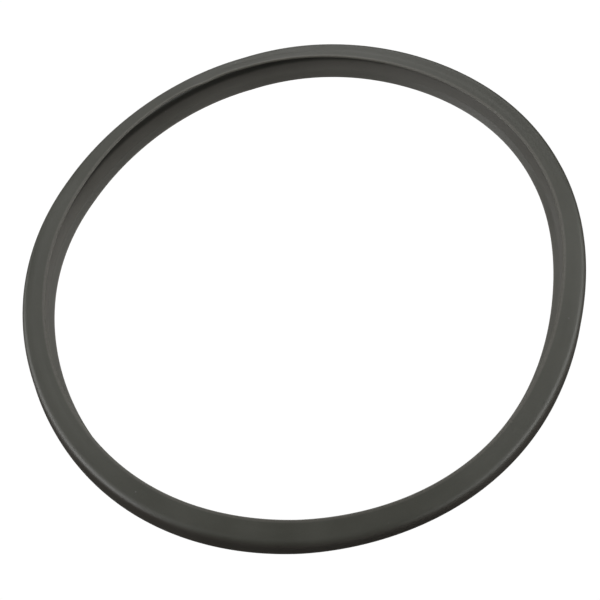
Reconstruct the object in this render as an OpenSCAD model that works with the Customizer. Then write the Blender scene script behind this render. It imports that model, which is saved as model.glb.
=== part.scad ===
// Sealing ring for the lid of a stovetop pressure cooker.
// One moulded rubber piece, round, with a C-shaped section that opens toward its centre.
// The ring stands on its flat base at z = 0, and its axis is the Z axis.

/* [Wall] */
// Outside diameter of the ring across its outer wall
outside_d = 240; // [200:1:280]
// Height of the outer wall from the base to the top of its rounded shoulder
wall_h = 10.6; // [9.5:0.1:13]
// Thickness of the wall between the groove and the outside
wall_t = 3; // [2:0.1:4]
// Radius of the large rounded shoulder at the top of the wall
shoulder_r = 3.6; // [2:0.1:4]
// Radius of the small rounded edge at the foot of the wall
foot_r = 1.2; // [0.5:0.1:2]

/* [Top lip] */
// Reach of the top lip inward from the outer wall
top_lip_reach = 9.8; // [7.5:0.1:10.5]
// Slope of the top lip's upper face, which rises toward its tip, in degrees
top_lip_slope = 16; // [0:1:18]
// Thickness of the top lip at its rounded tip
top_lip_tip_t = 1; // [0.8:0.1:2]
// Taper of the top lip between its two faces, in degrees
top_lip_taper = 5; // [0:1:8]

/* [Bottom lip] */
// Reach of the bottom lip inward from the outer wall
bottom_lip_reach = 12.5; // [11:0.1:14]
// Thickness of the bottom lip at the top of its bevel
bottom_lip_t = 2; // [1.6:0.1:3]
// Slope of the groove's floor, which rises toward the wall, in degrees
bottom_lip_slope = 20; // [0:1:22]
// Width of the bevel that thins the bottom lip toward its inner edge
bevel_w = 2.4; // [1.5:0.1:3]
// Height of the upright land on the bottom lip's inner edge
land_h = 0.6; // [0.4:0.1:1.2]

/* [Groove] */
// Radius of the rounded corners at the back of the groove
groove_r = 1.2; // [0.5:0.1:1.5]

/* [Quality] */
// Sides of the ring when it is drawn as a mesh
ring_sides = 240; // [48:24:480]
// Steps in each rounded corner of the section
corner_steps = 8; // [4:1:24]

/* [Hidden] */

rubber_grey = [0.3, 0.3, 0.28];
outside_r = outside_d / 2;
bore_r = outside_r - bottom_lip_reach;
groove_back_r = outside_r - wall_t;
tip_r = top_lip_tip_t / 2;
underside_slope = top_lip_slope + top_lip_taper;

// Centres of the section's rounded corners, as [radius from the axis, height]
foot_c = [outside_r - foot_r, foot_r];
shoulder_c = [outside_r - shoulder_r, wall_h - shoulder_r];
tip_c_r = outside_r - top_lip_reach + tip_r;
tip_c = [tip_c_r, tip_c_height(tip_c_r)];
groove_c_r = groove_back_r - groove_r;
groove_top_c = [groove_c_r, groove_top_c_height(groove_c_r)];
groove_floor_c = [groove_c_r, groove_floor_c_height(groove_c_r)];

// Height of the tip's centre at which a straight upper face touches the shoulder and the tip
function tip_c_height(r) =
    shoulder_c.y
    + (shoulder_r - tip_r + (shoulder_c.x - r) * sin(top_lip_slope)) / cos(top_lip_slope);

// Height of the upper corner's centre at which a straight underside touches the tip and the corner
function groove_top_c_height(r) =
    tip_c.y
    - (tip_r + groove_r + (r - tip_c.x) * sin(underside_slope)) / cos(underside_slope);

// Height of the lower corner's centre at which a straight groove floor touches the corner
function groove_floor_c_height(r) =
    bottom_lip_t
    + (groove_r + (r - bore_r - bevel_w) * sin(bottom_lip_slope)) / cos(bottom_lip_slope);

// Points along a rounded corner, from one angle to another
function corner(centre, radius, from, to) = [
    for (step = [0 : corner_steps])
        let (angle = from + (to - from) * step / corner_steps)
            centre + radius * [cos(angle), sin(angle)]
];

// The ring's section, from the base outward, over the top lip and back along the groove
module section() {
    polygon(concat(
        [[bore_r, 0]],
        corner(foot_c, foot_r, -90, 0),
        corner(shoulder_c, shoulder_r, 0, 90 - top_lip_slope),
        corner(tip_c, tip_r, 90 - top_lip_slope, 270 - underside_slope),
        corner(groove_top_c, groove_r, 90 - underside_slope, 0),
        corner(groove_floor_c, groove_r, 0, bottom_lip_slope - 90),
        [[bore_r + bevel_w, bottom_lip_t], [bore_r, land_h]]
    ));
}

module sealing_ring() {
    color(rubber_grey)
        rotate_extrude($fn = ring_sides)
            section();
}

sealing_ring();
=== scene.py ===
import math

import bmesh
import bpy
from mathutils import Matrix, Vector


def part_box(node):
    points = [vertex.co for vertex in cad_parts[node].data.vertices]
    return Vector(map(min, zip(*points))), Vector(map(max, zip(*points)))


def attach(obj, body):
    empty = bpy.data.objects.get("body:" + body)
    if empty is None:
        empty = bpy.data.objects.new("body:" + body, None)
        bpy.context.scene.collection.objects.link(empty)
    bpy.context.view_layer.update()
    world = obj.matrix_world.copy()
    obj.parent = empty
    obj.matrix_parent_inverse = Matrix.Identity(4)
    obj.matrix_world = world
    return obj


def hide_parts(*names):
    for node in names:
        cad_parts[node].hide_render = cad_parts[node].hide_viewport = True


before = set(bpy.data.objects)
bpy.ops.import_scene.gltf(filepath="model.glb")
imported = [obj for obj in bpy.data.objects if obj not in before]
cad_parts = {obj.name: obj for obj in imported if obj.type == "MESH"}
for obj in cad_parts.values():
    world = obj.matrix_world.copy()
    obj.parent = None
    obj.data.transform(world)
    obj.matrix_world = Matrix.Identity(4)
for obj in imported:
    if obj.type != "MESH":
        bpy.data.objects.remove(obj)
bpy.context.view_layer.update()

MM = 0.001
FULL_TURN = 2 * math.pi

# ---------------------------------------------------------------- camera

CAMERA_ELEVATION = math.radians(60)
CAMERA_ROLL = math.radians(19.7)
CAMERA_DISTANCE = 0.718
LENS_MM = 101.6
SENSOR_MM = 36.0
CLIP_NEAR = 0.01
CLIP_FAR = 100

# How far the ring's centre sits to the right of and above the middle of the frame, in metres
CENTRE_RIGHT = 0.001
CENTRE_ABOVE = 0.0056


def make_camera():
    """A long lens on the -Y side looks down on the ring, rolled so that +Y leans left in the frame."""
    across = Vector((1, 0, 0))
    up = Vector((0, math.sin(CAMERA_ELEVATION), math.cos(CAMERA_ELEVATION)))
    back = Vector((0, -math.cos(CAMERA_ELEVATION), math.sin(CAMERA_ELEVATION)))
    right = across * math.cos(CAMERA_ROLL) - up * math.sin(CAMERA_ROLL)
    top = across * math.sin(CAMERA_ROLL) + up * math.cos(CAMERA_ROLL)
    place = back * CAMERA_DISTANCE - right * CENTRE_RIGHT - top * CENTRE_ABOVE
    data = bpy.data.cameras.new("camera")
    data.sensor_width = SENSOR_MM
    data.lens = LENS_MM
    data.clip_start = CLIP_NEAR
    data.clip_end = CLIP_FAR
    camera = bpy.data.objects.new("camera", data)
    bpy.context.scene.collection.objects.link(camera)
    turn = Matrix((right, top, back)).transposed().to_4x4()
    camera.matrix_world = Matrix.Translation(place) @ turn
    bpy.context.scene.camera = camera


# ---------------------------------------------------------------- section of the ring, in mm

OUTSIDE_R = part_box("sealing_ring")[1].x / MM
WALL_H = 10.6
WALL_T = 3.0
SHOULDER_R = 3.6
FOOT_R = 1.2
TOP_LIP_REACH = 9.8
TOP_LIP_SLOPE = math.radians(16)
TOP_LIP_TAPER = math.radians(5)
TIP_R = 0.5
BOTTOM_LIP_REACH = 12.5
BOTTOM_LIP_T = 2.0
BOTTOM_LIP_SLOPE = math.radians(20)
BEVEL_W = 2.4
LAND_H = 0.6
GROOVE_R = 1.2
SMALL_EDGE_R = 0.15
BEVEL_EDGE_R = 0.4

# The parting line is a low ridge round the foot of the outer wall
PARTING_Z = 1.9
PARTING_W = 0.5
PARTING_H = 0.12
PARTING_EDGE_R = 0.08

# Radii from the axis
BORE_R = OUTSIDE_R - BOTTOM_LIP_REACH
GROOVE_BACK_R = OUTSIDE_R - WALL_T
TIP_CENTRE_R = OUTSIDE_R - TOP_LIP_REACH + TIP_R


def upper_face_z(r):
    """Height at radius r of the top lip's straight upper face, which meets the shoulder as a tangent."""
    from_centre = OUTSIDE_R - SHOULDER_R - r
    rise = (SHOULDER_R + from_centre * math.sin(TOP_LIP_SLOPE)) / math.cos(TOP_LIP_SLOPE)
    return WALL_H - SHOULDER_R + rise


def underside_z(r):
    """Height at radius r of the top lip's straight lower face, which meets the tip as a tangent."""
    tip_centre_z = upper_face_z(TIP_CENTRE_R) - TIP_R / math.cos(TOP_LIP_SLOPE)
    slope = TOP_LIP_SLOPE + TOP_LIP_TAPER
    return tip_centre_z - (TIP_R + (r - TIP_CENTRE_R) * math.sin(slope)) / math.cos(slope)


def groove_floor_z(r):
    """Height of the groove's floor at radius r."""
    return BOTTOM_LIP_T + (r - OUTSIDE_R + BOTTOM_LIP_REACH - BEVEL_W) * math.tan(BOTTOM_LIP_SLOPE)


def groove_middle_z(r):
    """Height halfway between the groove's floor and the top lip's lower face at radius r."""
    return (groove_floor_z(r) + underside_z(r)) / 2


def section_corners():
    """The section's sharp corners in order, each as (radius from the axis, height, rounding)."""
    tip = OUTSIDE_R - TOP_LIP_REACH
    return [
        (BORE_R, 0, SMALL_EDGE_R),
        (OUTSIDE_R, 0, FOOT_R),
        (OUTSIDE_R, PARTING_Z - PARTING_W / 2, PARTING_EDGE_R),
        (OUTSIDE_R + PARTING_H, PARTING_Z, PARTING_EDGE_R),
        (OUTSIDE_R, PARTING_Z + PARTING_W / 2, PARTING_EDGE_R),
        (OUTSIDE_R, upper_face_z(OUTSIDE_R), SHOULDER_R),
        (tip, upper_face_z(tip), TIP_R),
        (tip, underside_z(tip), TIP_R),
        (GROOVE_BACK_R, underside_z(GROOVE_BACK_R), GROOVE_R),
        (GROOVE_BACK_R, groove_floor_z(GROOVE_BACK_R), GROOVE_R),
        (BORE_R + BEVEL_W, BOTTOM_LIP_T, BEVEL_EDGE_R),
        (BORE_R, LAND_H, SMALL_EDGE_R),
    ]


# Spacing of the outline's points along a flat, in mm, and round a corner
STEP_ALONG_FLATS = 0.5
STEP_ROUND_CORNERS = math.radians(9)
FEWEST_CORNER_STEPS = 3

# Two corners nearer than this, in mm, have no flat between them
SHORTEST_FLAT = 0.001


def rounded(corners):
    """Points along the closed outline, with each corner rounded and each flat divided evenly."""
    points = []
    count = len(corners)
    ends = []
    for i in range(count):
        here = Vector(corners[i][:2])
        before = (here - Vector(corners[i - 1][:2])).normalized()
        after = (Vector(corners[(i + 1) % count][:2]) - here).normalized()
        turn = before.angle_signed(after)
        reach = corners[i][2] * math.tan(abs(turn) / 2)
        ends.append((here - before * reach, before, turn, here + after * reach))
    for i in range(count):
        start, direction, turn, end = ends[i]
        radius = corners[i][2]
        side = Vector((-direction.y, direction.x)) * (-1 if turn > 0 else 1)
        centre = start + side * radius
        steps = max(FEWEST_CORNER_STEPS, math.ceil(abs(turn) / STEP_ROUND_CORNERS))
        for step in range(steps):
            points.append(centre + Matrix.Rotation(-turn * step / steps, 2) @ (start - centre))
        run = ends[(i + 1) % count][0] - end
        pieces = max(1, round(run.length / STEP_ALONG_FLATS))
        if run.length < SHORTEST_FLAT:
            pieces = 0
        for piece in range(pieces):
            points.append(end + run * piece / pieces)
    return points


# ---------------------------------------------------------------- how the soft ring lies

# Waves round the ring, each as (cycles round the ring, amount, crest in degrees from +X toward +Y).
# Amounts are in mm for the radius, and in degrees for the section's twist and the top lip's droop.
RADIUS_WAVES = [(3, 0.7, 37), (4, 0.3, 20), (5, 0.5, 7)]
TWIST_WAVES = [(0, 1.5, 0), (1, 4, 155), (2, 7.5, 32), (3, 2.5, 52), (4, 2.5, 44), (5, 1.5, 12), (6, 1, 16)]
LIP_WAVES = [(1, 5, 205), (2, 3.5, 155), (4, 2, 70), (5, 2, 40)]

# The section twists about a point this far in from the outer wall and up from the base, in mm
TWIST_CENTRE_IN = 6.0
TWIST_CENTRE_Z = 5.4

# A short dip in the lip's edge at one place, as a further droop in degrees
LIP_DIP = 4.0
LIP_DIP_AT = math.radians(95)
LIP_DIP_WIDTH = math.radians(3)

# The droop grows over this distance inward from the shoulder's centre, in mm
LIP_BEND_LENGTH = 3.0


def waves(table, angle):
    """Sum of the waves in a table at an angle round the ring."""
    return sum(
        amount * math.cos(cycles * (angle - math.radians(crest))) for cycles, amount, crest in table
    )


def eased(share):
    """The share from 0 to 1, starting and ending smoothly."""
    return share * share * (3 - 2 * share)


def bent_lip(point, droop):
    """A point of the section after the top lip droops by an angle about the shoulder's centre."""
    hinge = Vector((OUTSIDE_R - SHOULDER_R, WALL_H - SHOULDER_R))
    inward = hinge.x - point.x
    if inward <= 0 or point.y < groove_middle_z(point.x):
        return point
    bend = droop * eased(min(1, inward / LIP_BEND_LENGTH))
    return hinge + Matrix.Rotation(bend, 2) @ (point - hinge)


def lay_section(outline, angle):
    """The outline at one angle round the ring, with its lip bent, twisted and resting on z = 0."""
    twist = Matrix.Rotation(math.radians(waves(TWIST_WAVES, angle)), 2)
    dip = LIP_DIP * math.exp(-(((angle - LIP_DIP_AT) / LIP_DIP_WIDTH) ** 2))
    droop = math.radians(waves(LIP_WAVES, angle) + dip)
    centre = Vector((OUTSIDE_R - TWIST_CENTRE_IN, TWIST_CENTRE_Z))
    shift = Vector((waves(RADIUS_WAVES, angle), 0))
    laid = [centre + shift + twist @ (bent_lip(point, droop) - centre) for point in outline]
    floor = min(point.y for point in laid)
    return [(point.x, point.y - floor) for point in laid]


# ---------------------------------------------------------------- marks on the surface

# Distances in mm over which each mark fades out
LIP_EDGE_FADE = 0.6
INNER_EDGE_FADE = 0.5
BEVEL_FADE = 0.8
LIP_LIGHT_FADE = 1.4

# How far the painted light on the bottom lip reaches into the groove from the top of the bevel, in mm
LIP_LIGHT_REACH = 3.8

# How strong each mark is, the same all the way round the ring
MARK_STRENGTH = {
    "lip_edge": 0.7,
    "inner_edge": 1.0,
    "groove_floor": 0.85,
    "bevel": 0.45,
    "groove": 1.0,
    "outer_wall": 0.6,
}


def fade(distance, reach):
    """1 at no distance, falling smoothly to 0 at the reach."""
    return eased(max(0, 1 - max(0, distance) / reach))


def in_groove(point):
    """Whether a point of the outline is on the groove's floor, back or roof, past the top lip's tip."""
    past_tip = TIP_CENTRE_R < point.x < GROOVE_BACK_R + SMALL_EDGE_R
    return past_tip and point.y < underside_z(point.x) + SMALL_EDGE_R


def surface_marks(outline):
    """How far each point of the outline belongs to a named stretch of the surface, from 0 to 1."""
    tip = Vector((TIP_CENTRE_R, upper_face_z(TIP_CENTRE_R) - TIP_R))
    land = Vector((BORE_R, LAND_H / 2))
    marks = {name: [] for name in MARK_STRENGTH}
    for point in outline:
        below_middle = LAND_H / 2 < point.y < groove_middle_z(point.x)
        on_bottom_lip = below_middle and point.x < GROOVE_BACK_R + GROOVE_R
        depth = point.x - (BORE_R + BEVEL_W)
        # Painted light on the bottom lip's face and bevel, fading out into the groove
        lip_light = fade(depth - LIP_LIGHT_REACH, LIP_LIGHT_FADE) if on_bottom_lip else 0.0
        floor_share = 1.0 - fade(depth + BEVEL_FADE / 2, BEVEL_FADE)
        # The lip's tip and the bore's edge carry a painted highlight
        marks["lip_edge"].append(fade((point - tip).length - TIP_R, LIP_EDGE_FADE))
        marks["inner_edge"].append(fade((point - land).length - LAND_H / 2, INNER_EDGE_FADE))
        marks["groove_floor"].append(lip_light * floor_share)
        marks["bevel"].append(lip_light * (1.0 - floor_share))
        # The groove mark is painted shade: it darkens the groove beyond where the painted light on the
        # bottom lip ends
        marks["groove"].append(1.0 - lip_light if in_groove(point) else 0.0)
        marks["outer_wall"].append(fade(OUTSIDE_R - point.x, FOOT_R))
    return marks


# ---------------------------------------------------------------- the ring

# Sections swept round the axis
SEGMENTS = 540


def make_ring():
    """The ring as one closed mesh, swept round the axis section by section."""
    outline = rounded(section_corners())
    mesh = bmesh.new()
    loops = []
    for segment in range(SEGMENTS):
        angle = FULL_TURN * segment / SEGMENTS
        x, y = math.cos(angle), math.sin(angle)
        loops.append([
            mesh.verts.new((r * x * MM, r * y * MM, z * MM)) for r, z in lay_section(outline, angle)
        ])
    count = len(outline)
    for segment in range(SEGMENTS):
        here, there = loops[segment], loops[(segment + 1) % SEGMENTS]
        for i in range(count):
            after = (i + 1) % count
            mesh.faces.new((here[i], there[i], there[after], here[after]))
    bmesh.ops.recalc_face_normals(mesh, faces=mesh.faces)
    data = bpy.data.meshes.new("moulded_ring")
    mesh.to_mesh(data)
    mesh.free()
    data.shade_smooth()
    for name, values in surface_marks(outline).items():
        mark = data.attributes.new(name, "FLOAT", "POINT")
        mark.data.foreach_set("value", [value * MARK_STRENGTH[name] for value in values] * SEGMENTS)
    ring = bpy.data.objects.new("moulded_ring", data)
    bpy.context.scene.collection.objects.link(ring)
    return ring


# ---------------------------------------------------------------- materials

RUBBER_DARK = (0.060, 0.0605, 0.049, 1)
RUBBER_LIGHT = (0.075, 0.0755, 0.062, 1)
# Painted highlight: a pale warm grey on the top lip's rounded tip and on the bore's edge, where light
# catches
PAINTED_EDGE_HIGHLIGHT = (0.150, 0.142, 0.124, 1)
# Painted light: a pale grey that lightens the bottom lip's face and bevel, standing in for light that
# reaches them
PAINTED_LIP_LIGHT = (0.168, 0.160, 0.142, 1)
# Painted shade: a near-black that darkens the groove past the top lip's tip, under the lip, where shade
# falls
PAINTED_GROOVE_SHADE = (0.022, 0.022, 0.020, 1)
WALL_WARM = (0.056, 0.048, 0.043, 1)
DUST = (0.21, 0.21, 0.20, 1)

# Sizes of the surface's features, in metres
MOTTLE_SIZE = 0.022
GRAIN_SIZE = 0.0012
PORE_SIZE = 0.00028
SPECK_SPACING = 0.012
SPECK_SIZE = 0.0005

# How many finer layers each noise has
MOTTLE_DETAIL = 5.0
GRAIN_DETAIL = 3.0
PORE_DETAIL = 2.0

# The middle of a noise's range, which is stretched to make it clearer
NOISE_LOW = 0.3
NOISE_HIGH = 0.7

# How much of the tone comes from the mottle and how much from the grain
MOTTLE_SHARE = 0.7
GRAIN_SHARE = 0.3

# How strongly the painted shade in the groove and the dust cover the rubber
GROOVE_SHADE_SHARE = 0.4
DUST_SHARE = 0.8

# The least and the most that the painted light on the bottom lip and the painted highlight on the edges
# cover, from patch to patch
LIP_LIGHT_PATCHES = (0.75, 0.95)
EDGE_HIGHLIGHT_PATCHES = (0.55, 0.9)

ROUGHNESS = (0.38, 0.50)
SPECULAR_LEVEL = 0.5

# The grain's height against the pores', and how strongly and how far, in metres, both raise the surface
GRAIN_RELIEF = 0.8
BUMP_STRENGTH = 0.05
BUMP_DISTANCE = 0.00004


class Nodes:
    """Short ways to add and join the nodes of one material."""

    def __init__(self, material):
        self.tree = material.node_tree
        self.place = self.add("ShaderNodeTexCoord").outputs["Object"]

    def add(self, kind, **settings):
        node = self.tree.nodes.new(kind)
        for name, value in settings.items():
            setattr(node, name, value)
        return node

    def join(self, source, target):
        self.tree.links.new(source, target)

    def noise(self, size, detail):
        """Noise from 0 to 1 whose features are about the given size in metres."""
        node = self.add("ShaderNodeTexNoise")
        node.inputs["Scale"].default_value = 1 / size
        node.inputs["Detail"].default_value = detail
        self.join(self.place, node.inputs["Vector"])
        return node.outputs["Fac"]

    def mark(self, name):
        """A surface mark stored on the mesh."""
        return self.add("ShaderNodeAttribute", attribute_name=name).outputs["Fac"]

    def spread(self, value, low, high, to_low, to_high):
        """The value with the range low to high stretched over to_low to to_high."""
        node = self.add("ShaderNodeMapRange")
        self.join(value, node.inputs["Value"])
        for name, number in zip(("From Min", "From Max", "To Min", "To Max"), (low, high, to_low, to_high)):
            node.inputs[name].default_value = number
        return node.outputs["Result"]

    def math(self, operation, a, b):
        node = self.add("ShaderNodeMath", operation=operation)
        for socket, value in zip(node.inputs, (a, b)):
            if isinstance(value, float):
                socket.default_value = value
            else:
                self.join(value, socket)
        return node.outputs["Value"]

    def blend(self, share, a, b):
        """Colour a where the share is 0 and colour b where it is 1."""
        node = self.add("ShaderNodeMix", data_type="RGBA")
        self.join(share, node.inputs["Factor"])
        colours = [s for s in node.inputs if s.type == "RGBA"]
        for socket, value in zip(colours, (a, b)):
            if isinstance(value, tuple):
                socket.default_value = value
            else:
                self.join(value, socket)
        return next(s for s in node.outputs if s.type == "RGBA")


def rubber_material():
    """Moulded rubber: mottled dark grey, grained and pored, with dust, and with painted light on the bottom
    lip, painted shade in the groove and painted highlights on the lip's tip and the bore's edge.
    """
    material = bpy.data.materials.new("satin_rubber")
    material.use_nodes = True
    nodes = Nodes(material)
    shader = material.node_tree.nodes["Principled BSDF"]

    mottle = nodes.spread(nodes.noise(MOTTLE_SIZE, MOTTLE_DETAIL), NOISE_LOW, NOISE_HIGH, 0.0, 1.0)
    grain = nodes.noise(GRAIN_SIZE, GRAIN_DETAIL)
    mottled = nodes.math("MULTIPLY", mottle, MOTTLE_SHARE)
    tone = nodes.math("ADD", mottled, nodes.math("MULTIPLY", grain, GRAIN_SHARE))
    colour = nodes.blend(tone, RUBBER_DARK, RUBBER_LIGHT)

    # Painted shade darkens the groove under the top lip
    groove = nodes.math("MULTIPLY", nodes.mark("groove"), GROOVE_SHADE_SHARE)
    colour = nodes.blend(groove, colour, PAINTED_GROOVE_SHADE)
    colour = nodes.blend(nodes.mark("outer_wall"), colour, WALL_WARM)

    # Painted light lightens the bottom lip's face and bevel
    lip_light = nodes.math("ADD", nodes.mark("groove_floor"), nodes.mark("bevel"))
    lip_light = nodes.math("MULTIPLY", lip_light, nodes.spread(mottle, 0.0, 1.0, *LIP_LIGHT_PATCHES))
    colour = nodes.blend(lip_light, colour, PAINTED_LIP_LIGHT)

    # Painted highlight on the top lip's tip and the bore's edge
    edge_highlight = nodes.math("MAXIMUM", nodes.mark("lip_edge"), nodes.mark("inner_edge"))
    edge_highlight = nodes.math("MULTIPLY", edge_highlight, nodes.spread(grain, NOISE_LOW, NOISE_HIGH, *EDGE_HIGHLIGHT_PATCHES))
    colour = nodes.blend(edge_highlight, colour, PAINTED_EDGE_HIGHLIGHT)

    specks = nodes.add("ShaderNodeTexVoronoi")
    specks.inputs["Scale"].default_value = 1 / SPECK_SPACING
    nodes.join(nodes.place, specks.inputs["Vector"])
    dust = nodes.spread(specks.outputs["Distance"], 0.0, SPECK_SIZE / SPECK_SPACING, DUST_SHARE, 0.0)
    colour = nodes.blend(dust, colour, DUST)
    nodes.join(colour, shader.inputs["Base Color"])

    nodes.join(nodes.spread(mottle, 0.0, 1.0, *ROUGHNESS), shader.inputs["Roughness"])
    shader.inputs["Specular IOR Level"].default_value = SPECULAR_LEVEL

    pores = nodes.noise(PORE_SIZE, PORE_DETAIL)
    relief = nodes.math("ADD", pores, nodes.math("MULTIPLY", grain, GRAIN_RELIEF))
    bump = nodes.add("ShaderNodeBump")
    bump.inputs["Strength"].default_value = BUMP_STRENGTH
    bump.inputs["Distance"].default_value = BUMP_DISTANCE
    nodes.join(relief, bump.inputs["Height"])
    nodes.join(bump.outputs["Normal"], shader.inputs["Normal"])
    return material


# ---------------------------------------------------------------- stage

FLOOR_SIZE = 24.0
FLOOR_GAP = 0.0002
FLOOR_WHITE = 1.02
FLOOR_BOUNCE = 0.02
WORLD_LIGHT = 0.0
WHITE = (1, 1, 1, 1)


def floor_material():
    """Plain white as seen, without shadows, and almost no light bounced back onto the ring."""
    material = bpy.data.materials.new("white_table")
    material.use_nodes = True
    nodes, links = material.node_tree.nodes, material.node_tree.links
    nodes.clear()
    seen = nodes.new("ShaderNodeEmission")
    seen.inputs["Strength"].default_value = FLOOR_WHITE
    bounce = nodes.new("ShaderNodeBsdfDiffuse")
    bounce.inputs["Color"].default_value = (FLOOR_BOUNCE, FLOOR_BOUNCE, FLOOR_BOUNCE, 1)
    ray = nodes.new("ShaderNodeLightPath")
    mix = nodes.new("ShaderNodeMixShader")
    output = nodes.new("ShaderNodeOutputMaterial")
    links.new(ray.outputs["Is Camera Ray"], mix.inputs[0])
    links.new(bounce.outputs[0], mix.inputs[1])
    links.new(seen.outputs[0], mix.inputs[2])
    links.new(mix.outputs[0], output.inputs["Surface"])
    return material


def make_floor():
    mesh = bmesh.new()
    bmesh.ops.create_grid(mesh, x_segments=1, y_segments=1, size=FLOOR_SIZE / 2)
    data = bpy.data.meshes.new("floor")
    mesh.to_mesh(data)
    mesh.free()
    data.materials.append(floor_material())
    floor = bpy.data.objects.new("floor", data)
    floor.location.z = -FLOOR_GAP
    bpy.context.scene.collection.objects.link(floor)


LIGHT_DISTANCE = 2.5
LIGHT_SIZE = 1.8

# Soft lamps in rows by elevation in degrees, each as (azimuth, watts). Azimuth 0 is -Y and 90 is +X.
LAMP_ROWS = {
    8: [(30, 18), (60, 26), (90, 20), (150, 9), (180, 6), (240, 20), (270, 32)],
    40: [(120, 7), (180, 14), (270, 8)],
    56: [(45, 4), (90, 4), (225, 3), (315, 2)],
}


def make_light(name, azimuth, elevation, power):
    """A round soft lamp that faces the ring."""
    around = math.radians(azimuth)
    up = math.radians(elevation)
    back = Vector((math.sin(around) * math.cos(up), -math.cos(around) * math.cos(up), math.sin(up)))
    data = bpy.data.lights.new(name, "AREA")
    data.shape = "DISK"
    data.size = LIGHT_SIZE
    data.energy = power
    light = bpy.data.objects.new(name, data)
    light.location = back * LIGHT_DISTANCE
    light.rotation_mode = "QUATERNION"
    light.rotation_quaternion = (-back).to_track_quat("-Z", "Y")
    light.visible_camera = False
    bpy.context.scene.collection.objects.link(light)


def make_world():
    """White behind the floor's edge as seen, and no light of its own: the lamps do the lighting."""
    world = bpy.data.worlds.new("studio")
    world.use_nodes = True
    nodes, links = world.node_tree.nodes, world.node_tree.links
    output = nodes["World Output"]
    lit = nodes["Background"]
    lit.inputs["Strength"].default_value = WORLD_LIGHT
    seen = nodes.new("ShaderNodeBackground")
    seen.inputs["Color"].default_value = WHITE
    ray = nodes.new("ShaderNodeLightPath")
    mix = nodes.new("ShaderNodeMixShader")
    links.new(ray.outputs["Is Camera Ray"], mix.inputs[0])
    links.new(lit.outputs[0], mix.inputs[1])
    links.new(seen.outputs[0], mix.inputs[2])
    links.new(mix.outputs[0], output.inputs["Surface"])
    bpy.context.scene.world = world
    bpy.context.scene.view_settings.view_transform = "Standard"


make_camera()
make_floor()
make_world()
for elevation, row in LAMP_ROWS.items():
    for azimuth, power in row:
        make_light(f"lamp_{azimuth}_{elevation}", azimuth, elevation, power)

ring = make_ring()
ring.data.materials.append(rubber_material())
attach(ring, "root")
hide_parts("sealing_ring")
